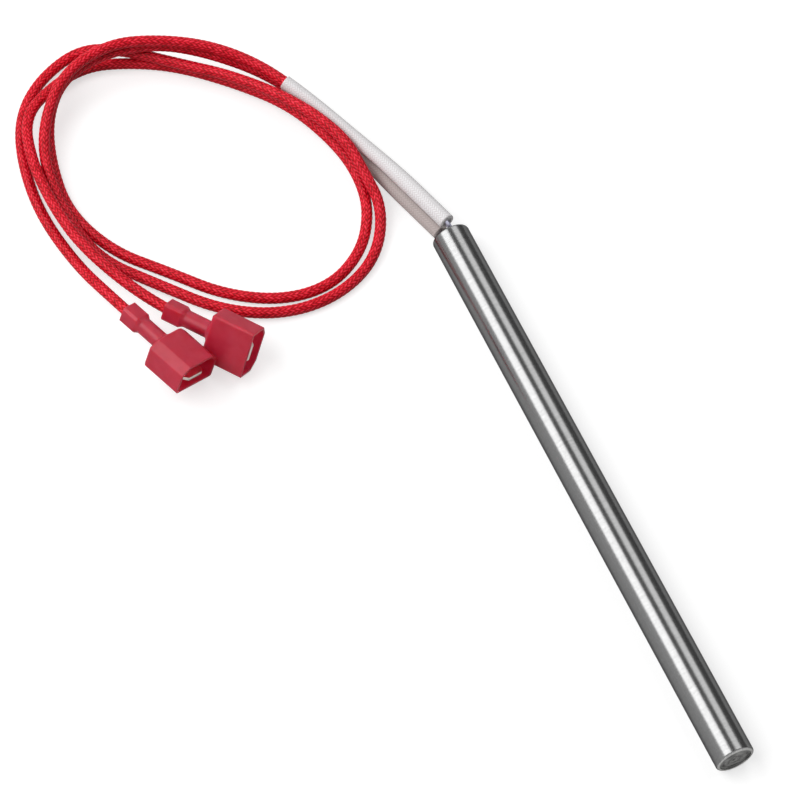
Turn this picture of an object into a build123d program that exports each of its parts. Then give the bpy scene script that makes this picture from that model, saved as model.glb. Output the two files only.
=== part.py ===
from build123d import *

import math
import os

# Pellet stove igniter: a cartridge heater rod with two braided leads, each ending in a fully
# insulated male push-on terminal. Millimetres. The rod lies along X on the plane Z = 0 with its
# closed tip towards +X, and the leads lie in one loose coil beside it.

# Heater rod
ROD_DIAMETER = 9.5
ROD_LENGTH = 152.4
ROD_LEAD_END_X = -73.2
SHEATH_WALL = 0.8
SHEATH_EDGE_RADIUS = 0.6
END_DISC_THICKNESS = 2.0
END_DISC_RECESS = 0.3
TIP_SPACER_THICKNESS = 4.0
CORE_DIAMETER = 6.0
END_SEAL_THICKNESS = 6.0
END_SEAL_RECESS = 1.0

# Winding of resistance strip, kept near the tip so that the lead end stays cool
COIL_STRIP_WIDTH = 0.8
COIL_STRIP_THICKNESS = 0.4
COIL_PITCH = 5.0
COIL_LENGTH = 65.0
COIL_TIP_SETBACK = 3.0

# Nickel pins, side by side across the rod's axis and bent towards the leads outside it
PIN_DIAMETER = 1.2
PIN_SPACING = 3.2
PIN_TILT = 22.6
PIN_TIP_SETBACK = 5.0
PIN_STRAIGHT = 1.0
PIN_BEND_RADIUS = 2.0
PIN_BEND_SETBACK = 0.6

# Crimped joint between a pin and its lead, inside the sleeve
SPLICE_DIAMETER = 2.8
SPLICE_LENGTH = 8.0
SPLICE_SETBACK = 0.5
SPLICE_GRIP = 2.4

# Knitted glass-fibre sleeves, wider over the joints than over the leads
SLEEVE_REACH = 10.0
SLEEVE_LENGTH = 57.0
SLEEVE_WALL = 0.35
SLEEVE_MOUTH_DIAMETER = 4.2
SLEEVE_MOUTH_LENGTH = 13.0
SLEEVE_CONE_LENGTH = 14.0

# Leads
LEAD_DIAMETER = 2.8
CONDUCTOR_DIAMETER = 1.2
CONDUCTOR_GRIP_LENGTH = 7.5

# Terminal housings, measured along the terminal from the end of the lead's braid
HOUSING_LENGTH = 24.0
LEAD_ENTRY = 4.0
SHROUD_LENGTH = 11.3
SHROUD_WIDTH = 12.2
SHROUD_HEIGHT = 7.7
SHROUD_TOP_WIDTH = 7.6
SHROUD_SIDE_HEIGHT = 5.8
SHROUD_CORNER_RADIUS = 0.6
SHROUD_REAR_CHAMFER = 0.5
SHROUD_WALL = 0.6
SHROUD_FLOOR = 1.4
SHOULDER_DIAMETER = 6.6
SHOULDER_LENGTH = 1.0
NECK_DIAMETER = 4.3
NECK_WALL = 0.5
COLLAR_WIDTH = 4.55
COLLAR_LENGTH = 4.5
COLLAR_CHAMFER = 0.6
COLLAR_TAPER_LENGTH = 1.0
TERMINAL_ROLLS = {1: -23.9, 2: -126.3}

# Push-on blades with their crimp barrels, and the grip sleeves round the barrels
BLADE_WIDTH = 6.35
BLADE_THICKNESS = 0.8
BLADE_LENGTH = 8.0
BLADE_RECESS = 0.2
BLADE_DROP = 1.2
BLADE_TIP_CHAMFER = 1.2
BLADE_TIP_BEVEL = 0.2
BLADE_FOLD_GAP = 0.16
BLADE_FOLD_DEPTH = 0.4
TAB_FLARE_LENGTH = 1.8
BARREL_DIAMETER = 2.5
BARREL_LENGTH = 7.0
BARREL_SEAM = 0.15
FERRULE_WALL = 0.25
FERRULE_LENGTH = 6.6
FERRULE_SETBACK = 0.3

# Gap left between pieces that slide into each other
FIT_CLEARANCE = 0.05

# Routes of the leads, from the sleeves to the terminals
LEAD_ROUTES = {
    1: [
        (-85.3, -2.3, 6.7), (-102.7, -6.9, 5.6), (-120, -12.7, 4.7), (-138, -20, 5.6),
        (-149, -30, 8), (-155, -41, 9.6), (-158, -54, 10), (-154, -67, 9.2),
        (-145, -76, 6.6), (-134, -81, 4.8), (-120, -82, 3.8), (-106, -79, 2),
        (-93, -71, 1.4), (-80, -59, 1.4), (-72, -45, 1.4), (-70, -31, 1.4),
        (-76, -19, 1.4), (-87, -11.5, 1.4), (-97, -11, 4.4), (-106, -12, 7),
        (-121, -17, 7.2), (-136, -28, 5.6), (-149, -37, 3.5), (-158, -48, 1.6),
        (-162, -60, 1.4), (-159, -73, 1.4), (-150, -82, 1.4), (-138, -87, 1.4),
        (-123, -87, 1.4), (-105, -84, 2.8), (-89.7, -81.7, 8.1), (-80.4, -78.2, 8.1),
    ],
    2: [
        (-85.9, -3.9, 2.25), (-103.3, -8.8, 1.9), (-121, -16.1, 1.8), (-137, -24, 3.2),
        (-149, -34, 6.2), (-155, -45, 6.9), (-157, -57, 6.6), (-153, -68, 5.8),
        (-146, -75, 3.2), (-135, -79, 1.6), (-121, -80, 1.4), (-106, -75, 1.4),
        (-94, -66, 1.4), (-83, -56, 1.4), (-75, -44, 1.4), (-74, -31, 1.4),
        (-80, -21, 1.4), (-89, -15, 1.4), (-98, -13, 2), (-108, -14, 3.4),
        (-122, -20, 4.2), (-136, -28.5, 1.8), (-148, -40, 1.4), (-154, -52, 1.4),
        (-158, -62, 1.4), (-155, -73, 1.8), (-144, -82, 4.4), (-132, -85, 5.2),
        (-118, -84, 6.6), (-105, -81, 6.6), (-86.9, -74, 6.1), (-78.8, -68.1, 6.1),
    ],
}
ARC_SHARE = 0.45

# Which way each pin lies from the rod's axis
PIN_SIDES = {1: 1, 2: -1}

ROD_RADIUS = ROD_DIAMETER / 2
ROD_TIP_X = ROD_LEAD_END_X + ROD_LENGTH
BORE_RADIUS = ROD_RADIUS - SHEATH_WALL
END_DISC_X = ROD_TIP_X - END_DISC_RECESS - END_DISC_THICKNESS
CORE_TIP_X = END_DISC_X - TIP_SPACER_THICKNESS
SEAL_INNER_X = ROD_LEAD_END_X + END_SEAL_RECESS + END_SEAL_THICKNESS
COIL_TIP_X = CORE_TIP_X - COIL_TIP_SETBACK
COIL_RADIUS = CORE_DIAMETER / 2 + FIT_CLEARANCE + COIL_STRIP_THICKNESS / 2
PIN_HOLE_RADIUS = PIN_DIAMETER / 2 + FIT_CLEARANCE
LEAD_BORE_RADIUS = LEAD_DIAMETER / 2 + FIT_CLEARANCE

MOUTH_Z = HOUSING_LENGTH - LEAD_ENTRY
SHROUD_REAR_Z = MOUTH_Z - SHROUD_LENGTH
CAVITY_FLOOR_Z = SHROUD_REAR_Z + SHROUD_FLOOR
COLLAR_FRONT_Z = COLLAR_LENGTH - LEAD_ENTRY
BLADE_TIP_Z = MOUTH_Z - BLADE_RECESS
BLADE_ROOT_Z = BLADE_TIP_Z - BLADE_LENGTH
BARREL_FRONT_Z = BLADE_ROOT_Z - TAB_FLARE_LENGTH
NECK_BORE_RADIUS = NECK_DIAMETER / 2 - NECK_WALL

FROM_START = (Align.CENTER, Align.CENTER, Align.MIN)


def rod_plane(x):
    """Plane across the rod at x, centred on its axis and facing the tip."""
    return Plane(origin=(x, 0, ROD_RADIUS), x_dir=(0, 1, 0), z_dir=(1, 0, 0))


def rod_cylinder(start_x, end_x, radius):
    """Cylinder on the rod's axis between two values of x."""
    return rod_plane(start_x) * Cylinder(radius, end_x - start_x, align=FROM_START)


def axial_cylinder(start_z, end_z, radius):
    """Cylinder on the local Z axis between two heights."""
    return Pos(0, 0, start_z) * Cylinder(radius, end_z - start_z, align=FROM_START)


def pin_offset(number):
    """Where a pin crosses the rod's section, as (across, up) from the axis."""
    reach = PIN_SIDES[number] * PIN_SPACING / 2
    tilt = math.radians(PIN_TILT)
    return reach * math.sin(tilt), reach * math.cos(tilt)


def pin_holes(start_x, end_x):
    """The two bores that the pins pass through."""
    holes = []
    for number in PIN_SIDES:
        across, up = pin_offset(number)
        holes.append(Pos(0, across, up) * rod_cylinder(start_x, end_x, PIN_HOLE_RADIUS))
    return holes


def sheath():
    """Seamless tube, open at both ends, with its outer edges eased."""
    outer = rod_cylinder(ROD_LEAD_END_X, ROD_TIP_X, ROD_RADIUS)
    outer = fillet(outer.edges().filter_by(GeomType.CIRCLE), SHEATH_EDGE_RADIUS)
    return outer - rod_cylinder(ROD_LEAD_END_X, ROD_TIP_X, BORE_RADIUS)


def end_disc():
    """Disc welded into the tip, a little below the rim."""
    return rod_cylinder(END_DISC_X, END_DISC_X + END_DISC_THICKNESS, BORE_RADIUS)


def tip_spacer():
    """Wafer that keeps the winding off the end disc."""
    return rod_cylinder(CORE_TIP_X, END_DISC_X, BORE_RADIUS)


def ceramic_core():
    """Round core with a bore for each pin."""
    core = rod_cylinder(SEAL_INNER_X, CORE_TIP_X, CORE_DIAMETER / 2)
    return core - pin_holes(SEAL_INNER_X, CORE_TIP_X)


def heating_coil():
    """Resistance strip wound flat on the core."""
    axis_start = Vector(COIL_TIP_X - COIL_LENGTH, 0, ROD_RADIUS)
    turns = Helix(COIL_PITCH, COIL_LENGTH, COIL_RADIUS, center=axis_start, direction=(1, 0, 0))
    outwards = turns @ 0 - axis_start
    section_plane = Plane(origin=turns @ 0, x_dir=outwards, z_dir=turns % 0)
    section = section_plane * Rectangle(COIL_STRIP_THICKNESS, COIL_STRIP_WIDTH)
    return sweep(section, path=turns, is_frenet=True)


def magnesia_fill():
    """Packed powder between the core and the sheath, with room for the winding."""
    fill = rod_cylinder(SEAL_INNER_X, CORE_TIP_X, BORE_RADIUS)
    fill -= rod_cylinder(SEAL_INNER_X, CORE_TIP_X, CORE_DIAMETER / 2)
    outer_radius = COIL_RADIUS + COIL_STRIP_THICKNESS / 2 + FIT_CLEARANCE
    overhang = COIL_STRIP_WIDTH / 2 + FIT_CLEARANCE
    winding_start_x = COIL_TIP_X - COIL_LENGTH - overhang
    return fill - rod_cylinder(winding_start_x, COIL_TIP_X + overhang, outer_radius)


def end_seal():
    """Ceramic bush that closes the lead end round the pins."""
    start_x = ROD_LEAD_END_X + END_SEAL_RECESS
    return rod_cylinder(start_x, SEAL_INNER_X, BORE_RADIUS) - pin_holes(start_x, SEAL_INNER_X)


def lead_points(number):
    """The lead's route as vectors."""
    return [Vector(point) for point in LEAD_ROUTES[number]]


def arc_radii(points):
    """Radius of the arc at each inner point of a route."""
    radii = []
    for before, here, after in zip(points, points[1:], points[2:]):
        arriving = here - before
        leaving = after - here
        half_turn = math.radians(arriving.get_angle(leaving)) / 2
        shorter_run = min(arriving.length, leaving.length)
        radii.append(ARC_SHARE * shorter_run / math.tan(half_turn))
    return radii


def splice_plane(number):
    """Plane at the start of a lead, facing the sleeve's mouth and the rod."""
    points = lead_points(number)
    return Plane(origin=points[0], z_dir=points[0] - points[1])


def sleeve_line(number):
    """Centre line of a sleeve: the lead's own line, carried on to the sleeve's mouth."""
    points = lead_points(number)
    mouth = splice_plane(number).from_local_coords((0, 0, SLEEVE_REACH))
    whole = FilletPolyline(mouth, *points[1:], radius=arc_radii(points))
    return Wire(whole.edges())


def terminal_plane(number):
    """Plane at the end of a lead's braid, facing the mouth of its terminal."""
    points = lead_points(number)
    heading = points[-1] - points[-2]
    left = Vector(0, 0, 1).cross(heading)
    level = Plane(origin=points[-1], x_dir=left, z_dir=heading)
    return Plane(level.location * Rot(Z=TERMINAL_ROLLS[number]))


def terminal_pin(number):
    """Nickel pin from the core to the middle of the splice."""
    across, up = pin_offset(number)
    height = ROD_RADIUS + up
    joint = splice_plane(number)
    splice_mouth = SLEEVE_REACH - SPLICE_SETBACK
    line = FilletPolyline(
        (CORE_TIP_X - PIN_TIP_SETBACK, across, height),
        (ROD_LEAD_END_X - PIN_STRAIGHT, across, height),
        joint.from_local_coords((0, 0, splice_mouth + PIN_BEND_SETBACK)),
        joint.from_local_coords((0, 0, splice_mouth - SPLICE_GRIP)),
        radius=PIN_BEND_RADIUS,
    )
    return sweep((line ^ 0) * Circle(PIN_DIAMETER / 2), path=line)


def splice(number):
    """Crimp barrel round the pin's end and the lead's stripped end."""
    end_z = SLEEVE_REACH - SPLICE_SETBACK
    start_z = end_z - SPLICE_LENGTH
    barrel = axial_cylinder(start_z, end_z, SPLICE_DIAMETER / 2)
    bore = axial_cylinder(start_z, end_z, max(PIN_DIAMETER, CONDUCTOR_DIAMETER) / 2 + FIT_CLEARANCE)
    return splice_plane(number) * (barrel - bore)


def bare_end(number):
    """Stripped conductor between the braid and the middle of the splice."""
    grip_z = SLEEVE_REACH - SPLICE_SETBACK - SPLICE_LENGTH + SPLICE_GRIP
    return splice_plane(number) * axial_cylinder(0, grip_z, CONDUCTOR_DIAMETER / 2)


def ring(diameter, wall):
    """Section of a sleeve."""
    return Circle(diameter / 2) - Circle(diameter / 2 - wall)


def sleeve(number):
    """Knitted sleeve: wide over the splice, then a cone, then close round the lead."""
    line = sleeve_line(number)
    cone_end = SLEEVE_MOUTH_LENGTH + SLEEVE_CONE_LENGTH
    close_diameter = 2 * (LEAD_BORE_RADIUS + SLEEVE_WALL)
    wide_places = [line.location_at(0), line.location_at(SLEEVE_MOUTH_LENGTH / line.length)]
    narrow_place = line.location_at(cone_end / line.length)
    wide = extrude(wide_places[0] * ring(SLEEVE_MOUTH_DIAMETER, SLEEVE_WALL), SLEEVE_MOUTH_LENGTH)
    cone_outer = loft(
        [wide_places[1] * Circle(SLEEVE_MOUTH_DIAMETER / 2), narrow_place * Circle(close_diameter / 2)]
    )
    cone_inner = loft(
        [
            wide_places[1] * Circle(SLEEVE_MOUTH_DIAMETER / 2 - SLEEVE_WALL),
            narrow_place * Circle(close_diameter / 2 - SLEEVE_WALL),
        ]
    )
    close_line = line.trim(cone_end / line.length, SLEEVE_LENGTH / line.length)
    close = sweep(narrow_place * ring(close_diameter, SLEEVE_WALL), path=close_line)
    return wide + (cone_outer - cone_inner) + close


def lead(number):
    """Braided lead as a plain tube along its route."""
    points = lead_points(number)
    radii = arc_radii(points)
    line = FilletPolyline(*points, radius=radii)
    tube = sweep((line ^ 0) * Circle(LEAD_DIAMETER / 2), path=line)
    expected = math.pi * LEAD_DIAMETER**2 / 4 * line.length
    print(f"lead_{number}: length {line.length:.1f}, radii", [round(radius, 1) for radius in radii])
    print(f"lead_{number}: volume over section times length {tube.volume / expected:.5f}")
    return tube


def shroud_outline():
    """Section of the shroud: a flat bottom, straight sides and a narrower top."""
    half_width = SHROUD_WIDTH / 2
    half_top = SHROUD_TOP_WIDTH / 2
    bottom = -SHROUD_HEIGHT / 2
    side_top = bottom + SHROUD_SIDE_HEIGHT
    top = SHROUD_HEIGHT / 2
    outline = Polygon(
        (-half_width, bottom),
        (half_width, bottom),
        (half_width, side_top),
        (half_top, top),
        (-half_top, top),
        (-half_width, side_top),
        align=None,
    )
    return fillet(outline.vertices(), SHROUD_CORNER_RADIUS)


def collar_outline():
    """Section of the collar: a square with chamfered corners."""
    return chamfer(Rectangle(COLLAR_WIDTH, COLLAR_WIDTH).vertices(), COLLAR_CHAMFER)


def housing(number):
    """Moulded nylon housing: shroud, shoulder, round neck and square collar."""
    shroud = extrude(Pos(0, 0, SHROUD_REAR_Z) * shroud_outline(), SHROUD_LENGTH)
    rear_edges = shroud.faces().sort_by(Axis.Z)[0].edges()
    shroud = chamfer(rear_edges, SHROUD_REAR_CHAMFER)
    neck = axial_cylinder(COLLAR_FRONT_Z, SHROUD_REAR_Z, NECK_DIAMETER / 2)
    shoulder = Pos(0, 0, SHROUD_REAR_Z - SHOULDER_LENGTH) * Cone(
        NECK_DIAMETER / 2, SHOULDER_DIAMETER / 2, SHOULDER_LENGTH, align=FROM_START
    )
    collar = extrude(Pos(0, 0, -LEAD_ENTRY) * collar_outline(), COLLAR_LENGTH)
    collar_taper = loft(
        [
            Pos(0, 0, COLLAR_FRONT_Z) * collar_outline(),
            Pos(0, 0, COLLAR_FRONT_Z + COLLAR_TAPER_LENGTH) * Circle(NECK_DIAMETER / 2),
        ]
    )
    body = shroud + neck + shoulder + collar + collar_taper
    cavity = extrude(
        Pos(0, 0, CAVITY_FLOOR_Z) * offset(shroud_outline(), -SHROUD_WALL), MOUTH_Z - CAVITY_FLOOR_Z
    )
    barrel_bore = axial_cylinder(0, CAVITY_FLOOR_Z, NECK_BORE_RADIUS)
    lead_bore = axial_cylinder(-LEAD_ENTRY, 0, LEAD_BORE_RADIUS)
    return terminal_plane(number) * (body - cavity - barrel_bore - lead_bore)


def tab(number):
    """Brass blade folded double at its tip, its flare, and its crimp barrel with an open seam."""
    blade_outline = Polygon(
        (-BLADE_WIDTH / 2, BLADE_ROOT_Z),
        (BLADE_WIDTH / 2, BLADE_ROOT_Z),
        (BLADE_WIDTH / 2, BLADE_TIP_Z - BLADE_TIP_CHAMFER),
        (BLADE_WIDTH / 2 - BLADE_TIP_CHAMFER, BLADE_TIP_Z),
        (BLADE_TIP_CHAMFER - BLADE_WIDTH / 2, BLADE_TIP_Z),
        (-BLADE_WIDTH / 2, BLADE_TIP_Z - BLADE_TIP_CHAMFER),
        align=None,
    )
    blade = extrude(Plane.XZ * blade_outline, BLADE_THICKNESS / 2, both=True)
    tip_edges = blade.faces().sort_by(Axis.Z)[-1].edges().filter_by(Axis.X)
    blade = chamfer(tip_edges, BLADE_TIP_BEVEL)
    fold = Pos(0, 0, BLADE_TIP_Z) * Box(
        BLADE_WIDTH, BLADE_FOLD_GAP, BLADE_FOLD_DEPTH, align=(Align.CENTER, Align.CENTER, Align.MAX)
    )
    blade = Pos(0, -BLADE_DROP, 0) * (blade - fold)
    flare = loft(
        [
            Pos(0, 0, BARREL_FRONT_Z) * Circle(BARREL_DIAMETER / 2),
            Pos(0, -BLADE_DROP, BLADE_ROOT_Z) * Rectangle(BLADE_WIDTH, BLADE_THICKNESS),
        ]
    )
    barrel_rear_z = BARREL_FRONT_Z - BARREL_LENGTH
    barrel = axial_cylinder(barrel_rear_z, BARREL_FRONT_Z, BARREL_DIAMETER / 2)
    barrel -= axial_cylinder(barrel_rear_z, BARREL_FRONT_Z, CONDUCTOR_DIAMETER / 2 + FIT_CLEARANCE)
    seam = Pos(0, 0, barrel_rear_z) * Box(
        BARREL_SEAM, BARREL_DIAMETER, BARREL_LENGTH, align=(Align.CENTER, Align.MIN, Align.MIN)
    )
    return terminal_plane(number) * (blade + flare + (barrel - seam))


def ferrule(number):
    """Copper grip sleeve round the crimp barrel."""
    inner_radius = BARREL_DIAMETER / 2 + FIT_CLEARANCE
    front_z = BARREL_FRONT_Z - FERRULE_SETBACK
    outer = axial_cylinder(front_z - FERRULE_LENGTH, front_z, inner_radius + FERRULE_WALL)
    inner = axial_cylinder(front_z - FERRULE_LENGTH, front_z, inner_radius)
    return terminal_plane(number) * (outer - inner)


def bare_tail(number):
    """Stripped conductor between the braid and the crimp barrel."""
    return terminal_plane(number) * axial_cylinder(0, CONDUCTOR_GRIP_LENGTH, CONDUCTOR_DIAMETER / 2)


def all_parts():
    """Every sub-part by name."""
    parts = {
        "sheath": sheath(),
        "end_disc": end_disc(),
        "tip_spacer": tip_spacer(),
        "ceramic_core": ceramic_core(),
        "heating_coil": heating_coil(),
        "magnesia_fill": magnesia_fill(),
        "end_seal": end_seal(),
    }
    for number in LEAD_ROUTES:
        parts[f"terminal_pin_{number}"] = terminal_pin(number)
        parts[f"splice_{number}"] = splice(number)
        parts[f"bare_end_{number}"] = bare_end(number)
        parts[f"sleeve_{number}"] = sleeve(number)
        parts[f"lead_{number}"] = lead(number)
        parts[f"housing_{number}"] = housing(number)
        parts[f"tab_{number}"] = tab(number)
        parts[f"ferrule_{number}"] = ferrule(number)
        parts[f"bare_tail_{number}"] = bare_tail(number)
    return parts


def main():
    """Write one STEP file per sub-part."""
    os.makedirs("parts", exist_ok=True)
    for name, part in all_parts().items():
        part.label = name
        export_step(part, f"parts/{name}.step")


if __name__ == "__main__":
    main()
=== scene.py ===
"""Looks of a pellet stove igniter: a ground steel heater rod, two red braided leads and two nylon push-on terminals.

Everything is in metres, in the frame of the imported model: the rod lies along X with its tip at +X, and Z is up.
"""

import math

import bmesh
import bpy
import numpy as np
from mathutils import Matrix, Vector


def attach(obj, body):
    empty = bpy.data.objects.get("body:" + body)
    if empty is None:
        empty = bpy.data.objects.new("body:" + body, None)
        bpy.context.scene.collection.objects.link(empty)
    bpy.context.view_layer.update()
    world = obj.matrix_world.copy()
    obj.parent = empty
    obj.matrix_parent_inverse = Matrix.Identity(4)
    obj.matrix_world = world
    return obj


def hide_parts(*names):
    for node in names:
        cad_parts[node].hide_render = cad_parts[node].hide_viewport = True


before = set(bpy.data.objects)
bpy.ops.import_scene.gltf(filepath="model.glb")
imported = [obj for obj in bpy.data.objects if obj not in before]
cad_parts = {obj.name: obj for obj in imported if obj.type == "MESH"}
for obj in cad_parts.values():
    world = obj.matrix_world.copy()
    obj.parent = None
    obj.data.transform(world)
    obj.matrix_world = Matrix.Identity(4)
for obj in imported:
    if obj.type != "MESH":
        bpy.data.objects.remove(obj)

bl_info = {
    "name": "Pellet stove igniter",
    "version": (1, 0, 0),
    "blender": (4, 5, 0),
    "location": "3D View > Sidebar > Igniter",
    "description": "Braids, sleeves, terminals and finishes of a cartridge igniter with two leads",
    "category": "Object",
}

MM = 0.001

ROD_RADIUS = 4.75 * MM

# Strands of the braid that each strand floats over, before it dives under as many
OVER = 2
# Power of the sine across a strand, under 1 for a crown that is blunter than a sine
CROWN_POWER = 0.6

# Name, angle across the rod in degrees from +Y, width across the rod and radiance of each lamp
SOFTBOXES = (("softbox_left", 124.7, 1.01, 2.7), ("softbox_right", 58.9, 0.76, 1.6))
SOFTBOX_DISTANCE = 1.3
SOFTBOX_LENGTH = 1.6
SOFTBOX_X = -0.65
# Watts a square metre that give an area lamp a radiance of 1
LAMP_POWER = 4
# From the middle of the floor to its sides
FLOOR_REACH = 6

# Control points of each lead's line, from the splice beside the rod to the terminal's collar
LEAD_ROUTES = {
    1: (
        (-0.0853, -0.0023, 0.0067), (-0.0961, -0.0052, 0.006), (-0.1091, -0.0101, 0.0057),
        (-0.1227, -0.0153, 0.0058), (-0.1355, -0.0218, 0.0071), (-0.1449, -0.0311, 0.009),
        (-0.1512, -0.0423, 0.0103), (-0.1555, -0.0545, 0.0104), (-0.1528, -0.0677, 0.0093),
        (-0.1441, -0.0765, 0.0066), (-0.1333, -0.0813, 0.0048), (-0.1184, -0.0822, 0.0038),
        (-0.1039, -0.0791, 0.002), (-0.0922, -0.0691, 0.0014), (-0.0789, -0.0579, 0.0014),
        (-0.0715, -0.0445, 0.0014), (-0.0708, -0.0305, 0.0014), (-0.0766, -0.018, 0.0014),
        (-0.0882, -0.0109, 0.0026), (-0.0986, -0.0116, 0.0058), (-0.1081, -0.0125, 0.0082),
        (-0.1221, -0.0189, 0.0081), (-0.1367, -0.0291, 0.0056), (-0.1465, -0.04, 0.0047),
        (-0.1559, -0.0503, 0.00415), (-0.1622, -0.0598, 0.0024), (-0.1586, -0.0722, 0.0014),
        (-0.1502, -0.0811, 0.0014), (-0.1376, -0.0855, 0.0014), (-0.1219, -0.0871, 0.0014),
        (-0.1044, -0.0848, 0.0028), (-0.0897, -0.0817, 0.0081), (-0.0804, -0.0782, 0.0081),
    ),
    2: (
        (-0.0859, -0.0039, 0.00225), (-0.1028, -0.0088, 0.0019), (-0.1202, -0.0133, 0.0018),
        (-0.1346, -0.0201, 0.0032), (-0.1458, -0.0323, 0.0059), (-0.1527, -0.0436, 0.0074),
        (-0.1554, -0.0567, 0.0073), (-0.1534, -0.0681, 0.006), (-0.1458, -0.0753, 0.0035),
        (-0.1344, -0.0792, 0.0017), (-0.1198, -0.0807, 0.0014), (-0.1051, -0.0753, 0.0014),
        (-0.094, -0.0652, 0.0014), (-0.0827, -0.0556, 0.0014), (-0.0752, -0.0431, 0.0014),
        (-0.0742, -0.0307, 0.0014), (-0.0801, -0.0203, 0.0014), (-0.0892, -0.0143, 0.0014),
        (-0.0983, -0.0123, 0.0018), (-0.1087, -0.0135, 0.0032), (-0.1234, -0.0193, 0.0042),
        (-0.1367, -0.0283, 0.0018), (-0.1482, -0.0401, 0.0014), (-0.1544, -0.0513, 0.0014),
        (-0.1573, -0.0607, 0.0014), (-0.1543, -0.0711, 0.0027), (-0.1474, -0.0806, 0.0051),
        (-0.1349, -0.0839, 0.0057), (-0.1194, -0.0843, 0.0069), (-0.1054, -0.082, 0.0066),
        (-0.0869, -0.074, 0.0061), (-0.0788, -0.0681, 0.0061),
    ),
}


def linear(code):
    """Linear colour of an sRGB hex value."""
    parts = [int(code[i : i + 2], 16) / 255 for i in (1, 3, 5)]
    return (*[c / 12.92 if c <= 0.04045 else ((c + 0.055) / 1.055) ** 2.4 for c in parts], 1)


class LeadSettings(bpy.types.PropertyGroup):
    """Sizes and colours of the braided leads"""

    diameter: bpy.props.FloatProperty(
        name="Diameter", description="Over the crowns of the braid", default=2.8 * MM, subtype="DISTANCE"
    )
    relief: bpy.props.FloatProperty(
        name="Relief", description="Depth of the gaps between the strands", default=0.15 * MM, subtype="DISTANCE"
    )
    pitch: bpy.props.FloatProperty(
        name="Pitch", description="Length of one turn of a strand", default=16.5 * MM, subtype="DISTANCE"
    )
    strands: bpy.props.IntProperty(
        name="Strands each way", description="Strands that wind in one direction, an even number", default=12
    )
    around: bpy.props.IntProperty(
        name="Faces around", description="Faces round the braid", default=60
    )
    step: bpy.props.FloatProperty(
        name="Step", description="Length of a face along the braid", default=0.28 * MM, subtype="DISTANCE"
    )
    # Painted shade: the darker colour in the gaps between the strands
    gap_shade_colour: bpy.props.FloatVectorProperty(
        name="Gap colour", description="Between the strands", default=linear("#700006"), size=4, subtype="COLOR"
    )
    yarn_colour: bpy.props.FloatVectorProperty(
        name="Yarn colour", description="Varnished yarn", default=linear("#DC0A22"), size=4, subtype="COLOR"
    )
    # Painted highlight: the lighter colour on the crowns of the strands stands in for their glint
    crown_highlight_colour: bpy.props.FloatVectorProperty(
        name="Crown colour", description="Worn crowns of the yarn", default=linear("#F03A4E"), size=4, subtype="COLOR"
    )


class SleeveSettings(bpy.types.PropertyGroup):
    """Sizes and colours of the knitted sleeves"""

    length: bpy.props.FloatProperty(
        name="Length", description="Cut length of a sleeve", default=57 * MM, subtype="DISTANCE"
    )
    reach: bpy.props.FloatProperty(
        name="Reach", description="How far the mouth stands past the lead's end", default=10 * MM, subtype="DISTANCE"
    )
    wall: bpy.props.FloatProperty(
        name="Wall", description="Thickness of the knit", default=0.35 * MM, subtype="DISTANCE"
    )
    mouth_diameter: bpy.props.FloatProperty(
        name="Mouth diameter", description="Outside, over the splice", default=4.0 * MM, subtype="DISTANCE"
    )
    mouth_length: bpy.props.FloatProperty(
        name="Mouth length", description="Length of the wide part", default=13 * MM, subtype="DISTANCE"
    )
    cone_length: bpy.props.FloatProperty(
        name="Cone length", description="Length in which it narrows to the lead", default=14 * MM, subtype="DISTANCE"
    )
    clearance: bpy.props.FloatProperty(
        name="Clearance", description="Between the sleeve and the lead in it", default=0.05 * MM, subtype="DISTANCE"
    )
    hem_diameter: bpy.props.FloatProperty(
        name="Hem diameter", description="Opening of the cut end round the pin", default=2.5 * MM, subtype="DISTANCE"
    )
    relief: bpy.props.FloatProperty(
        name="Relief", description="Depth of the gaps between the yarns", default=0.03 * MM, subtype="DISTANCE"
    )
    pitch: bpy.props.FloatProperty(
        name="Pitch", description="Length of one turn of a yarn", default=12 * MM, subtype="DISTANCE"
    )
    strands: bpy.props.IntProperty(
        name="Yarns each way", description="Yarns that wind in one direction, an even number", default=16
    )
    around: bpy.props.IntProperty(
        name="Faces around", description="Faces round the sleeve", default=100
    )
    step: bpy.props.FloatProperty(
        name="Step", description="Length of a face along the sleeve", default=0.16 * MM, subtype="DISTANCE"
    )
    # Painted shade: the greyer colour in the gaps between the yarns
    gap_shade_colour: bpy.props.FloatVectorProperty(
        name="Gap colour", description="Between the yarns", default=linear("#BDB6B6"), size=4, subtype="COLOR"
    )
    yarn_colour: bpy.props.FloatVectorProperty(
        name="Yarn colour", description="Knitted glass fibre", default=linear("#D9D6D7"), size=4, subtype="COLOR"
    )
    # Painted highlight: the lighter colour on the crowns of the yarns
    crown_highlight_colour: bpy.props.FloatVectorProperty(
        name="Crown colour", description="Crowns of the yarn", default=linear("#E6E5E6"), size=4, subtype="COLOR"
    )
    # Painted shade: darkens and browns the colours of the sleeve that lies underneath
    shaded_tint: bpy.props.FloatVectorProperty(
        name="Shade tint", description="Tint of the lower sleeve", default=(0.64, 0.57, 0.545, 1), size=4, subtype="COLOR"
    )


class TerminalSettings(bpy.types.PropertyGroup):
    """Colours of the nylon housings"""

    nylon_colour: bpy.props.FloatVectorProperty(
        name="Nylon colour", description="Moulded housing", default=linear("#D92247"), size=4, subtype="COLOR"
    )
    pale_colour: bpy.props.FloatVectorProperty(
        name="Pale colour", description="Paler clouds in it", default=linear("#E23457"), size=4, subtype="COLOR"
    )


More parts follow.
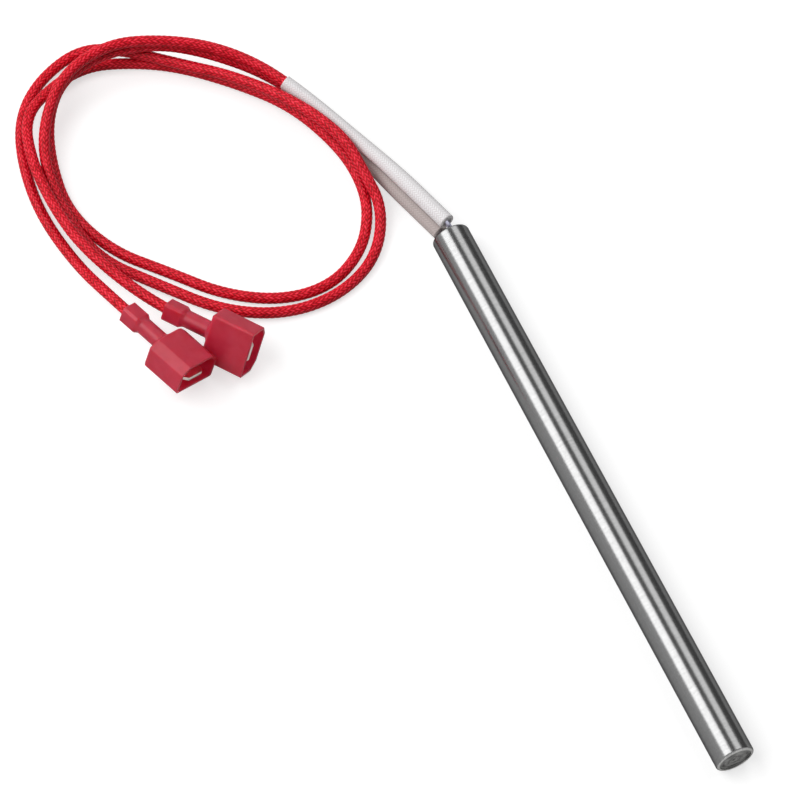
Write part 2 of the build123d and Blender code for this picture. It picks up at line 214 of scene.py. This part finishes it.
class StageSettings(bpy.types.PropertyGroup):
    """Where the camera stands and looks"""

    azimuth: bpy.props.FloatProperty(
        name="Azimuth", description="Camera angle round the object", default=math.radians(65.36), subtype="ANGLE"
    )
    elevation: bpy.props.FloatProperty(
        name="Elevation", description="Camera angle above the floor", default=math.radians(60.70), subtype="ANGLE"
    )
    distance: bpy.props.FloatProperty(
        name="Distance", description="Camera to target", default=0.995, subtype="DISTANCE"
    )
    target: bpy.props.FloatVectorProperty(
        name="Target", description="Point in the middle of the view", default=(-0.0383, -0.0293, 0.002), subtype="XYZ"
    )
    lens: bpy.props.FloatProperty(
        name="Lens", description="Focal length on a 36 mm sensor", default=189, subtype="DISTANCE_CAMERA"
    )


def node(tree, kind, inputs=None, stops=(), **settings):
    """Adds a node with its settings. An input takes a value, a socket, or a node for that node's first output.

    stops are the places and colours of a colour ramp, in sRGB hex or linear. Inputs that share a name go by number:
    in a Mix node 0 is the factor, 2 and 3 are the values, and 6 and 7 are the colours.
    """
    made = tree.nodes.new(kind)
    for name, value in settings.items():
        setattr(made, name, value)
    for name, value in (inputs or {}).items():
        if isinstance(value, bpy.types.Node):
            value = value.outputs[0]
        if isinstance(value, bpy.types.NodeSocket):
            tree.links.new(value, made.inputs[name])
        else:
            made.inputs[name].default_value = value
    for index, (place, colour) in enumerate(stops):
        element = made.color_ramp.elements[index] if index < 2 else made.color_ramp.elements.new(1)
        element.position = place
        element.color = linear(colour) if isinstance(colour, str) else colour
    return made


def new_material(name):
    """Empty node material and its tree."""
    material = bpy.data.materials.new(name)
    material.use_nodes = True
    material.node_tree.nodes.clear()
    return material, material.node_tree


def finish(tree, **inputs):
    """Surface shader with the given inputs, an underscore for each space in a name, and the material's output."""
    named = {name.replace("_", " "): value for name, value in inputs.items()}
    shader = node(tree, "ShaderNodeBsdfPrincipled", named)
    node(tree, "ShaderNodeOutputMaterial", {"Surface": shader})


def braid_pattern(tree, strands, fibres):
    """Sockets of a two-over-two braid on a UV map in turns and pitches: crown height, fibre, float's own shade."""
    uv = node(tree, "ShaderNodeTexCoord").outputs["UV"]
    parts = node(tree, "ShaderNodeSeparateXYZ", {"Vector": uv})
    families = []
    for direction in ("ADD", "SUBTRACT"):
        turned = node(tree, "ShaderNodeMath", {0: parts.outputs["X"], 1: parts.outputs["Y"]}, operation=direction)
        count = node(tree, "ShaderNodeMath", {0: turned, 1: strands}, operation="MULTIPLY")
        strand = node(tree, "ShaderNodeMath", {0: count}, operation="FLOOR")
        across = node(tree, "ShaderNodeMath", {0: count}, operation="FRACT")
        families.append((count, strand, across))
    (first, first_strand, across_first), (second, second_strand, across_second) = families
    # Whole numbers from 0 to 3: the first family is on top at 0 and 1, the second at 2 and 3
    lap = node(tree, "ShaderNodeMath", {0: first_strand, 1: second_strand}, operation="ADD")
    lap = node(tree, "ShaderNodeMath", {0: lap, 1: 2 * OVER}, operation="FLOORED_MODULO")
    on_top = node(tree, "ShaderNodeMath", {0: lap, 1: OVER - 0.5}, operation="LESS_THAN")
    across = node(tree, "ShaderNodeMix", {0: on_top, 2: across_second, 3: across_first})
    # How far along its float the strand on top is, 0 to 2
    float_first = node(tree, "ShaderNodeMath", {0: second, 1: first_strand}, operation="ADD")
    float_first = node(tree, "ShaderNodeMath", {0: float_first, 1: 2 * OVER}, operation="FLOORED_MODULO")
    float_second = node(tree, "ShaderNodeMath", {0: first, 1: second_strand}, operation="ADD")
    float_second = node(tree, "ShaderNodeMath", {0: float_second, 1: 2 * OVER}, operation="FLOORED_MODULO")
    float_second = node(tree, "ShaderNodeMath", {0: float_second, 1: OVER}, operation="SUBTRACT")
    along_float = node(tree, "ShaderNodeMix", {0: on_top, 2: float_second, 3: float_first})
    rise = node(tree, "ShaderNodeMath", {0: along_float, 1: math.pi / OVER}, operation="MULTIPLY")
    rise = node(tree, "ShaderNodeMath", {0: rise}, operation="SINE")
    rise = node(tree, "ShaderNodeMapRange", {"Value": rise, "To Min": 0.55, "To Max": 1})
    crown = node(tree, "ShaderNodeMath", {0: across, 1: math.pi}, operation="MULTIPLY")
    crown = node(tree, "ShaderNodeMath", {0: crown}, operation="SINE")
    crown = node(tree, "ShaderNodeMath", {0: crown, 1: CROWN_POWER}, operation="POWER")
    crown = node(tree, "ShaderNodeMath", {0: crown, 1: rise}, operation="MULTIPLY")
    # The second family is numbered far from the first, so that no two strands share their fibres
    other = node(tree, "ShaderNodeMath", {0: second_strand, 1: 531}, operation="ADD")
    strand = node(tree, "ShaderNodeMix", {0: on_top, 2: other, 3: first_strand})
    along = node(tree, "ShaderNodeMix", {0: on_top, 2: first, 3: second})
    place = node(tree, "ShaderNodeMath", {0: across, 1: fibres}, operation="MULTIPLY")
    streak = node(tree, "ShaderNodeCombineXYZ", {"X": place, "Y": along, "Z": strand})
    fibre = node(tree, "ShaderNodeTexNoise", {"Vector": streak, "Scale": 1, "Detail": 2, "Roughness": 0.6})
    cell = node(tree, "ShaderNodeCombineXYZ", {"X": first_strand, "Y": second_strand})
    tint = node(tree, "ShaderNodeTexWhiteNoise", {"Vector": cell}, noise_dimensions="2D")
    return crown.outputs[0], fibre.outputs[0], tint.outputs[0]


def braid_height(turns, pitches, strands):
    """Height of a two-over-two braid, 0 in the gaps and 1 on the crowns."""
    first = strands * (turns + pitches)
    second = strands * (turns - pitches)
    on_top = np.mod(np.floor(first) + np.floor(second), 2 * OVER) < OVER
    across = np.where(on_top, first % 1, second % 1)
    float_first = np.mod(second + np.floor(first), 2 * OVER)
    float_second = np.mod(first + np.floor(second), 2 * OVER) - OVER
    rise = np.sin(np.pi * np.where(on_top, float_first, float_second) / OVER) ** 0.8
    return np.sin(np.pi * across) ** CROWN_POWER * (0.45 + 0.55 * rise)


def route_line(number):
    """Closely spaced points of a lead's smooth line, which ends on the first and last of its control points."""
    curve = bpy.data.curves.new(f"route_{number}", "CURVE")
    curve.dimensions = "3D"
    curve.resolution_u = 32
    spline = curve.splines.new("NURBS")
    spline.points.add(len(LEAD_ROUTES[number]) - 1)
    for point, place in zip(spline.points, LEAD_ROUTES[number]):
        point.co = (*place, 1)
    spline.order_u = 3
    spline.use_endpoint_u = True
    holder = bpy.data.objects.new(f"route_{number}", curve)
    mesh = bpy.data.meshes.new_from_object(holder)
    line = np.array([v.co for v in mesh.vertices])
    bpy.data.objects.remove(holder)
    bpy.data.curves.remove(curve)
    bpy.data.meshes.remove(mesh)
    return line


def travelled(line):
    """Distance of each point along a line."""
    return np.concatenate([[0], np.cumsum(np.linalg.norm(np.diff(line, axis=0), axis=1))])


def even_line(line, start, end, step):
    """Points at even spacing between two distances along a line, which runs on straight before its start."""
    count = max(2, round((end - start) / step) + 1)
    distances = np.linspace(start, end, count)
    along = travelled(line)
    points = np.stack([np.interp(distances, along, line[:, i]) for i in range(3)], axis=1)
    back = line[1] - line[0]
    back /= np.linalg.norm(back)
    points += np.minimum(distances, 0)[:, None] * back
    return distances, points


def frames(points):
    """Two directions square to the line at each point, which don't twist along it."""
    tangents = np.gradient(points, axis=0)
    tangents /= np.linalg.norm(tangents, axis=1)[:, None]
    side = np.cross(tangents[0], (0, 0, 1))
    sides = []
    for tangent in tangents:
        side = side - tangent * (side @ tangent)
        side /= np.linalg.norm(side)
        sides.append(side)
    sides = np.array(sides)
    return sides, np.cross(tangents, sides)


def braided_tube(name, points, radius, relief, pitches, strands, around, closed):
    """Tube with a modelled braid, from a grid with a row for each point of its line and around faces in a row.

    Each row has its own radius over the crowns, relief and pitches travelled by the strands. closed joins the last
    row to the first, and without it both ends are capped.
    """
    rows = len(points)
    shape = bmesh.new()
    shape.loops.layers.uv.new("UVMap")
    bmesh.ops.create_grid(shape, x_segments=around, y_segments=rows - 1, size=0.5, calc_uvs=True)
    mesh = bpy.data.meshes.new(name)
    shape.to_mesh(mesh)
    shape.free()
    # The grid spans -0.5 to 0.5, X becomes the turn and Y the row
    flat = np.empty(len(mesh.vertices) * 3)
    mesh.vertices.foreach_get("co", flat)
    turn, height, _ = flat.reshape(-1, 3).T + 0.5
    row = np.rint(height * (rows - 1)).astype(int)
    sides, ups = frames(points)
    angle = 2 * np.pi * turn
    out = np.cos(angle)[:, None] * sides[row] + np.sin(angle)[:, None] * ups[row]
    distance = radius[row] - relief[row] * (1 - braid_height(turn, pitches[row], strands))
    mesh.vertices.foreach_set("co", (points[row] + distance[:, None] * out).ravel())
    # U stays in turns, V becomes pitches
    uvs = np.empty(len(mesh.loops) * 2)
    mesh.uv_layers[0].data.foreach_get("uv", uvs)
    uvs = uvs.reshape(-1, 2)
    uvs[:, 1] = pitches[np.rint(uvs[:, 1] * (rows - 1)).astype(int)]
    mesh.uv_layers[0].data.foreach_set("uv", uvs.ravel())
    shape = bmesh.new()
    shape.from_mesh(mesh)
    bmesh.ops.remove_doubles(shape, verts=shape.verts, dist=1e-4 * MM)
    edges = [e for e in shape.edges if e.is_boundary]
    if closed:
        bmesh.ops.bridge_loops(shape, edges=edges)
    else:
        bmesh.ops.holes_fill(shape, edges=edges, sides=around + 1)
    bmesh.ops.recalc_face_normals(shape, faces=shape.faces)
    shape.to_mesh(mesh)
    shape.free()
    mesh.shade_smooth()
    piece = bpy.data.objects.new(name, mesh)
    bpy.context.collection.objects.link(piece)
    return piece


def red_braid():
    """Varnished glass-fibre braid: a painted glint, a lighter colour on the crown of each float, and painted shade,
    deep red in the gaps.
    """
    material, tree = new_material("varnished_red_glass_braid")
    settings = bpy.context.scene.igniter_leads
    crown, fibre, tint = braid_pattern(tree, settings.strands, fibres=7)
    streaks = node(tree, "ShaderNodeMath", {0: fibre, 1: 0.5}, operation="SUBTRACT")
    streaks = node(tree, "ShaderNodeMath", {0: streaks, 1: 0.9}, operation="MULTIPLY")
    shade = node(tree, "ShaderNodeMath", {0: crown, 1: streaks}, operation="ADD")
    own_shade = node(tree, "ShaderNodeMapRange", {"Value": tint, "To Min": -0.24, "To Max": 0.14})
    shade = node(tree, "ShaderNodeMath", {0: shade, 1: own_shade}, operation="ADD")
    # The crown height gives painted shade in the gaps and a painted highlight on the crowns
    stops = [(0.04, settings.gap_shade_colour), (0.7, settings.yarn_colour), (1, settings.crown_highlight_colour)]
    colour = node(tree, "ShaderNodeValToRGB", {"Fac": shade}, stops)
    relief = node(tree, "ShaderNodeBump", {"Strength": 0.6, "Distance": 0.06 * MM, "Height": fibre})
    rough = node(tree, "ShaderNodeMapRange", {"Value": tint, "To Min": 0.34, "To Max": 0.46})
    finish(tree, Base_Color=colour, Roughness=rough, Normal=relief, Specular_IOR_Level=0.16)
    return material


def glass_knit(name, shaded_tint):
    """Glass-fibre sleeving: dull off-white yarns, with painted shade in the greyer gaps and a painted highlight on
    the crowns; the tint gives a darker, browner copy as painted shade for the sleeve that lies underneath.
    """
    material, tree = new_material(name)
    settings = bpy.context.scene.igniter_sleeves
    crown, fibre, _ = braid_pattern(tree, settings.strands, fibres=4)
    streaks = node(tree, "ShaderNodeMath", {0: fibre, 1: 0.5}, operation="SUBTRACT")
    shade = node(tree, "ShaderNodeMath", {0: crown, 1: streaks}, operation="ADD")
    yarns = (settings.gap_shade_colour, settings.yarn_colour, settings.crown_highlight_colour)
    # Painted shade for the sleeve that lies underneath: its colours are darkened and browned
    shaded_yarns = [tuple(part * share for part, share in zip(yarn, shaded_tint)) for yarn in yarns]
    # The crown height gives painted shade in the gaps and a painted highlight on the crowns
    colour = node(tree, "ShaderNodeValToRGB", {"Fac": shade}, list(zip((0, 0.5, 1), shaded_yarns)))
    relief = node(tree, "ShaderNodeBump", {"Strength": 0.35, "Distance": 0.03 * MM, "Height": fibre})
    finish(tree, Base_Color=colour, Roughness=0.8, Normal=relief)
    return material


def ground_steel():
    """Centreless-ground stainless steel: satin and finely mottled, with a rough rim at the tip that carries a painted
    highlight.
    """
    material, tree = new_material("ground_stainless_steel")
    place = node(tree, "ShaderNodeTexCoord").outputs["Object"]
    # Grinding lines are about 0.05 mm apart and run some 4 mm round the rod, drawn at 0.2 mm so that they show
    stretched = node(tree, "ShaderNodeMapping", {"Vector": place, "Scale": (5000, 260, 260)})
    scratch = node(tree, "ShaderNodeTexNoise", {"Vector": stretched, "Scale": 1, "Detail": 2, "Roughness": 0.6})
    rough = node(tree, "ShaderNodeMapRange", {"Value": scratch, "To Min": 0.22, "To Max": 0.25})
    # Grains of the ground surface, about 0.1 mm, drawn at 0.3 mm
    grain = node(tree, "ShaderNodeTexNoise", {"Vector": place, "Scale": 3300, "Detail": 3, "Roughness": 0.7})
    mottle = node(tree, "ShaderNodeMath", {0: scratch, 1: grain}, operation="ADD")
    mottle = node(tree, "ShaderNodeMath", {0: mottle, 1: 0.5}, operation="MULTIPLY")
    colour = node(tree, "ShaderNodeValToRGB", {"Fac": mottle}, [(0.3, "#7E7E7E"), (0.7, "#949494")])
    # The deburred rim at the tip is rougher than the ground tube and begins on a ragged line; its lighter colour is a
    # painted highlight
    parts = node(tree, "ShaderNodeSeparateXYZ", {"Vector": place})
    ragged = node(tree, "ShaderNodeMath", {0: grain, 1: 0.6 * MM}, operation="MULTIPLY")
    along = node(tree, "ShaderNodeMath", {0: parts.outputs["X"], 1: ragged}, operation="ADD")
    rim = node(tree, "ShaderNodeMapRange", {"Value": along, "From Min": 79.3 * MM, "From Max": 79.42 * MM})
    # Painted highlight: the rim's lighter colour stands in for light caught on its edge
    colour = node(tree, "ShaderNodeMix", {0: rim, 6: colour, 7: linear("#D2D2D0")}, data_type="RGBA").outputs[2]
    rough = node(tree, "ShaderNodeMix", {0: rim, 2: rough, 3: 0.42})
    strength = node(tree, "ShaderNodeMapRange", {"Value": rim, "To Min": 0.01, "To Max": 0.8})
    relief = node(tree, "ShaderNodeBump", {"Strength": strength, "Distance": 0.05 * MM, "Height": grain})
    # Holds the shine down where the surface turns away, at the rod's dark sides
    edge_tint = linear("#949494")
    finish(tree, Base_Color=colour, Metallic=1, Roughness=rough, Normal=relief, Specular_Tint=edge_tint)
    return material


def welded_disc():
    """Weld-faced steel disc: the weld's faint rings and its splashes in relief, grey and uneven."""
    material, tree = new_material("welded_steel_disc")
    place = node(tree, "ShaderNodeTexCoord").outputs["Object"]
    centred = node(tree, "ShaderNodeMapping", {"Vector": place, "Location": (0, 0, -ROD_RADIUS)})
    rings = node(
        tree,
        "ShaderNodeTexWave",
        {"Vector": centred, "Scale": 190, "Distortion": 9, "Detail": 3, "Detail Scale": 1.2},
        wave_type="RINGS",
        rings_direction="X",
    )
    rough = node(tree, "ShaderNodeMapRange", {"Value": rings, "To Min": 0.22, "To Max": 0.45})
    splash = node(tree, "ShaderNodeTexNoise", {"Vector": centred, "Scale": 420, "Detail": 4, "Roughness": 0.65})
    height = node(tree, "ShaderNodeMix", {0: 0.85, 2: rings, 3: splash})
    relief = node(tree, "ShaderNodeBump", {"Strength": 1, "Distance": 0.8 * MM, "Height": height})
    colour = node(tree, "ShaderNodeValToRGB", {"Fac": height}, [(0.35, "#565655"), (0.65, "#A2A2A0")])
    finish(tree, Base_Color=colour, Metallic=1, Roughness=rough, Normal=relief)
    return material


def plated_metal(name, low, high, roughness):
    """Drawn or stamped plated metal: long fine marks, colour a little uneven."""
    material, tree = new_material(name)
    place = node(tree, "ShaderNodeTexCoord").outputs["Object"]
    marks = node(tree, "ShaderNodeTexNoise", {"Vector": place, "Scale": 2200, "Detail": 3})
    cloud = node(tree, "ShaderNodeTexNoise", {"Vector": place, "Scale": 420, "Detail": 2})
    colour = node(tree, "ShaderNodeValToRGB", {"Fac": cloud}, [(0.3, low), (0.7, high)])
    levels = {"Value": marks, "To Min": roughness - 0.06, "To Max": roughness + 0.08}
    rough = node(tree, "ShaderNodeMapRange", levels)
    relief = node(tree, "ShaderNodeBump", {"Strength": 0.15, "Distance": 0.02 * MM, "Height": marks})
    finish(tree, Base_Color=colour, Metallic=1, Roughness=rough, Normal=relief)
    return material


def pressed_ceramic(name, low, high):
    """Pressed magnesia: chalky and finely grained."""
    material, tree = new_material(name)
    place = node(tree, "ShaderNodeTexCoord").outputs["Object"]
    grain = node(tree, "ShaderNodeTexNoise", {"Vector": place, "Scale": 3000, "Detail": 4})
    colour = node(tree, "ShaderNodeValToRGB", {"Fac": grain}, [(0.3, low), (0.7, high)])
    relief = node(tree, "ShaderNodeBump", {"Strength": 0.3, "Distance": 0.05 * MM, "Height": grain})
    finish(tree, Base_Color=colour, Roughness=0.85, Normal=relief)
    return material


def red_nylon():
    """Moulded translucent nylon: frosted skin, soft edges, light passes through the walls."""
    material, tree = new_material("translucent_red_nylon")
    place = node(tree, "ShaderNodeTexCoord").outputs["Object"]
    # Spark-eroded mould texture, about 0.15 mm, drawn twice as coarse so that it shows
    frost = node(tree, "ShaderNodeTexNoise", {"Vector": place, "Scale": 3300, "Detail": 3})
    cloud = node(tree, "ShaderNodeTexNoise", {"Vector": place, "Scale": 260, "Detail": 2})
    settings = bpy.context.scene.igniter_terminals
    stops = [(0.3, settings.nylon_colour), (0.7, settings.pale_colour)]
    colour = node(tree, "ShaderNodeValToRGB", {"Fac": cloud}, stops)
    rough = node(tree, "ShaderNodeMapRange", {"Value": frost, "To Min": 0.36, "To Max": 0.48})
    edge = node(tree, "ShaderNodeBevel", {"Radius": 0.25 * MM}, samples=6)
    bumps = {"Strength": 0.12, "Distance": 0.03 * MM, "Height": frost, "Normal": edge}
    relief = node(tree, "ShaderNodeBump", bumps)
    finish(
        tree,
        Base_Color=colour,
        Roughness=rough,
        Normal=relief,
        IOR=1.53,
        Transmission_Weight=0.46,
        Subsurface_Weight=1,
        Subsurface_Radius=(1, 0.14, 0.2),
        Subsurface_Scale=2 * MM,
        Specular_IOR_Level=0.3,
    )
    return material


def white_rays(tree):
    """Light path node, and a node that gives 1 to the rays that see white: the camera's, also through the nylon."""
    path = node(tree, "ShaderNodeLightPath")
    rays = {0: path.outputs["Is Camera Ray"], 1: path.outputs["Is Transmission Ray"]}
    return path, node(tree, "ShaderNodeMath", rays, operation="MAXIMUM")


def studio_floor():
    """Matt white paper: shows as white, and keeps a soft shadow."""
    material, tree = new_material("white_paper")
    place = node(tree, "ShaderNodeTexCoord").outputs["Object"]
    pulp = node(tree, "ShaderNodeTexNoise", {"Vector": place, "Scale": 40, "Detail": 2})
    colour = node(tree, "ShaderNodeValToRGB", {"Fac": pulp}, [(0, "#BABABA"), (1, "#BDBDBD")])
    path, seen = white_rays(tree)
    # The lamps light the middle of the floor, so it glows more where they don't reach
    away = node(tree, "ShaderNodeVectorMath", {0: place}, operation="LENGTH").outputs["Value"]
    levels = {"Value": away, "From Min": 0.4, "From Max": 1.6, "To Min": 0.62, "To Max": 0.98}
    level = node(tree, "ShaderNodeMapRange", levels)
    glow = node(tree, "ShaderNodeMath", {0: seen, 1: level}, operation="MULTIPLY")
    # Metal sees it darker, so that the rod's lower sides stay dark
    shine = node(tree, "ShaderNodeMath", {0: path.outputs["Is Glossy Ray"], 1: 0.2}, operation="MULTIPLY")
    glow = node(tree, "ShaderNodeMath", {0: glow, 1: shine}, operation="MAXIMUM")
    white = (1, 1, 1, 1)
    finish(tree, Base_Color=colour, Roughness=0.9, Specular_IOR_Level=0, Emission_Color=white, Emission_Strength=glow)
    return material


def studio_world():
    """White surroundings, darker for light that falls on the object, and for its shine where the lamps stand."""
    world = bpy.data.worlds.new("studio")
    world.use_nodes = True
    tree = world.node_tree
    tree.nodes.clear()
    direction = node(tree, "ShaderNodeTexCoord").outputs["Generated"]
    parts = node(tree, "ShaderNodeSeparateXYZ", {"Vector": direction})
    # Brighter on the side of the coiled leads
    levels = {"Value": parts.outputs["Y"], "From Min": -1, "From Max": -0.2, "To Min": 0.85, "To Max": 0.14}
    level = node(tree, "ShaderNodeMapRange", levels)
    path, white = white_rays(tree)
    seen = node(tree, "ShaderNodeMath", {0: level, 1: white}, operation="MAXIMUM")
    # Metal sees white beyond the lead end and on the side of the tip, where no lamp stands
    across = parts.outputs["X"]
    lead_end = node(tree, "ShaderNodeMapRange", {"Value": across, "From Min": -0.6, "From Max": -0.85})
    tip_end = node(tree, "ShaderNodeMapRange", {"Value": across, "From Min": 0.1, "From Max": 0.45})
    ends = node(tree, "ShaderNodeMath", {0: lead_end, 1: tip_end}, operation="MAXIMUM")
    shine = node(tree, "ShaderNodeMath", {0: path.outputs["Is Glossy Ray"], 1: ends}, operation="MULTIPLY")
    seen = node(tree, "ShaderNodeMath", {0: seen, 1: shine}, operation="MAXIMUM")
    light = node(tree, "ShaderNodeBackground", {"Color": (1, 1, 1, 1), "Strength": seen})
    node(tree, "ShaderNodeOutputWorld", {"Surface": light})
    return world


def dress(names, material):
    """Gives carried-over nodes a finish."""
    for name in names:
        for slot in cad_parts[name].material_slots:
            slot.material = material


class IGNITER_OT_stage(bpy.types.Operator):
    """Makes the camera, the soft lights and the floor"""

    bl_idname = "igniter.stage"
    bl_label = "Camera, lights and floor"

    def execute(self, context):
        scene = context.scene
        settings = scene.igniter_stage
        scene.view_settings.view_transform = "Standard"
        a, e = settings.azimuth, settings.elevation
        back = Vector((math.sin(a) * math.cos(e), -math.cos(a) * math.cos(e), math.sin(e)))
        view = bpy.data.cameras.new("camera")
        view.lens = settings.lens
        view.sensor_width = 36
        view.clip_start = 0.01
        view.clip_end = 50
        camera = bpy.data.objects.new("camera", view)
        camera.location = Vector(settings.target) + back * settings.distance
        camera.rotation_mode = "QUATERNION"
        camera.rotation_quaternion = (-back).to_track_quat("-Z", "Y")
        scene.collection.objects.link(camera)
        scene.camera = camera
        for name, tilt, width, radiance in SOFTBOXES:
            lamp = bpy.data.lights.new(name, "AREA")
            lamp.shape = "RECTANGLE"
            lamp.size = SOFTBOX_LENGTH
            lamp.size_y = width
            lamp.energy = radiance * LAMP_POWER * lamp.size * lamp.size_y
            box = bpy.data.objects.new(name, lamp)
            angle = math.radians(tilt)
            box.location = (SOFTBOX_X, SOFTBOX_DISTANCE * math.cos(angle), SOFTBOX_DISTANCE * math.sin(angle))
            box.rotation_euler = (angle - math.pi / 2, 0, 0)
            box.visible_camera = False
            scene.collection.objects.link(box)
        scene.world = studio_world()
        shape = bmesh.new()
        bmesh.ops.create_grid(shape, x_segments=1, y_segments=1, size=FLOOR_REACH)
        mesh = bpy.data.meshes.new("floor")
        shape.to_mesh(mesh)
        shape.free()
        mesh.materials.append(studio_floor())
        floor = bpy.data.objects.new("floor", mesh)
        scene.collection.objects.link(floor)
        return {"FINISHED"}


class IGNITER_OT_sleeves(bpy.types.Operator):
    """Slips a white knitted sleeve over each splice"""

    bl_idname = "igniter.sleeves"
    bl_label = "Sleeves"

    def execute(self, context):
        settings = context.scene.igniter_sleeves
        lead = context.scene.igniter_leads.diameter
        # The sleeve that lies underneath gets a darker, browner copy of the colours: painted shade
        materials = {
            1: glass_knit("glass_fibre_sleeving", (1, 1, 1, 1)),
            2: glass_knit("shaded_glass_fibre_sleeving", settings.shaded_tint),
        }
        # The inside shows only at the mouth, so it has one row of faces for six outside
        coarser = 6
        end = settings.length - settings.reach
        for number in LEAD_ROUTES:
            distances, points = even_line(route_line(number), -settings.reach, end, settings.step)
            from_mouth = distances + settings.reach
            close = lead / 2 + settings.clearance + settings.wall
            spread = np.clip((from_mouth - settings.mouth_length) / settings.cone_length, 0, 1)
            spread = spread * spread * (3 - 2 * spread)
            outside = settings.mouth_diameter / 2 * (1 - spread) + close * spread
            outer = np.arange(len(points))
            inner = np.append(np.arange(len(points) - 1, coarser - 1, -coarser), 0)
            rows = np.concatenate([outer, inner])
            radius = np.concatenate([outside, outside[inner] - settings.wall])
            # The cut end draws in a little round the pin
            radius[-1] = settings.hem_diameter / 2
            relief = np.concatenate([np.full(len(outer), settings.relief), np.zeros(len(inner))])
            piece = braided_tube(
                f"glass_sleeve_{number}",
                points[rows],
                radius,
                relief,
                pitches=from_mouth[rows] / settings.pitch,
                strands=settings.strands,
                around=settings.around,
                closed=True,
            )
            piece.data.materials.append(materials[number])
            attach(piece, "root")
            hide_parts(f"sleeve_{number}")
        return {"FINISHED"}


class IGNITER_OT_leads(bpy.types.Operator):
    """Lays the two braided leads"""

    bl_idname = "igniter.leads"
    bl_label = "Braided leads"

    def execute(self, context):
        settings = context.scene.igniter_leads
        material = red_braid()
        for number in LEAD_ROUTES:
            line = route_line(number)
            distances, points = even_line(line, 0, travelled(line)[-1], settings.step)
            piece = braided_tube(
                f"braided_lead_{number}",
                points,
                np.full(len(points), settings.diameter / 2),
                np.full(len(points), settings.relief),
                pitches=distances / settings.pitch,
                strands=settings.strands,
                around=settings.around,
                closed=False,
            )
            piece.data.materials.append(material)
            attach(piece, "root")
            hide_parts(f"lead_{number}")
        return {"FINISHED"}


class IGNITER_OT_terminals(bpy.types.Operator):
    """Finishes the nylon housings and the blades in them"""

    bl_idname = "igniter.terminals"
    bl_label = "Terminals"

    def execute(self, context):
        dress(["housing_1", "housing_2"], red_nylon())
        dress(["tab_1", "tab_2"], plated_metal("tin_plated_brass", "#DCD4CC", "#F0EAE4", 0.33))
        dress(["ferrule_1", "ferrule_2"], plated_metal("copper_grip_sleeve", "#C77B58", "#DE9B78", 0.35))
        return {"FINISHED"}


class IGNITER_OT_heater(bpy.types.Operator):
    """Finishes the heater rod, its pins and what is sealed inside it"""

    bl_idname = "igniter.heater"
    bl_label = "Heater rod"

    def execute(self, context):
        dress(["sheath"], ground_steel())
        dress(["end_disc"], welded_disc())
        dress(["terminal_pin_1", "terminal_pin_2"], plated_metal("drawn_nickel", "#9E9EB2", "#BCBCCE", 0.32))
        dress(["splice_1", "splice_2"], plated_metal("tin_plated_copper", "#8A8A90", "#A6A6AC", 0.45))
        stripped = ["bare_end_1", "bare_end_2", "bare_tail_1", "bare_tail_2"]
        dress(stripped, plated_metal("stranded_copper", "#B56A45", "#D28E67", 0.35))
        dress(["heating_coil"], plated_metal("oxidised_heating_strip", "#55524F", "#6E6A66", 0.5))
        dress(["ceramic_core", "tip_spacer", "end_seal"], pressed_ceramic("fired_magnesia", "#D8D2C4", "#EBE7DD"))
        dress(["magnesia_fill"], pressed_ceramic("packed_magnesia_powder", "#CFCBC2", "#E4E1DA"))
        return {"FINISHED"}


class IGNITER_PT_parts(bpy.types.Panel):
    """Lists the pieces of the igniter and their sizes"""

    bl_idname = "IGNITER_PT_parts"
    bl_label = "Igniter"
    bl_space_type = "VIEW_3D"
    bl_region_type = "UI"
    bl_category = "Igniter"

    def draw(self, context):
        for operator, group in PIECES:
            box = self.layout.box()
            box.operator(operator.bl_idname)
            if group:
                settings = getattr(context.scene, group)
                for name in settings.bl_rna.properties.keys():
                    if name not in ("rna_type", "name"):
                        box.prop(settings, name)


PIECES = (
    (IGNITER_OT_stage, "igniter_stage"),
    (IGNITER_OT_sleeves, "igniter_sleeves"),
    (IGNITER_OT_leads, "igniter_leads"),
    (IGNITER_OT_terminals, "igniter_terminals"),
    (IGNITER_OT_heater, None),
)
GROUPS = {
    "igniter_stage": StageSettings,
    "igniter_sleeves": SleeveSettings,
    "igniter_leads": LeadSettings,
    "igniter_terminals": TerminalSettings,
}


def register():
    """Adds the settings, the operators and the panel"""
    for name, group in GROUPS.items():
        bpy.utils.register_class(group)
        setattr(bpy.types.Scene, name, bpy.props.PointerProperty(type=group))
    for operator, _ in PIECES:
        bpy.utils.register_class(operator)
    bpy.utils.register_class(IGNITER_PT_parts)


def unregister():
    """Takes away the panel, the operators and the settings"""
    bpy.utils.unregister_class(IGNITER_PT_parts)
    for operator, _ in PIECES:
        bpy.utils.unregister_class(operator)
    for name, group in GROUPS.items():
        delattr(bpy.types.Scene, name)
        bpy.utils.unregister_class(group)


def main():
    """Dresses the igniter"""
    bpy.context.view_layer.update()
    register()
    bpy.ops.igniter.stage()
    bpy.ops.igniter.sleeves()
    bpy.ops.igniter.leads()
    bpy.ops.igniter.terminals()
    bpy.ops.igniter.heater()


if __name__ == "__main__":
    main()
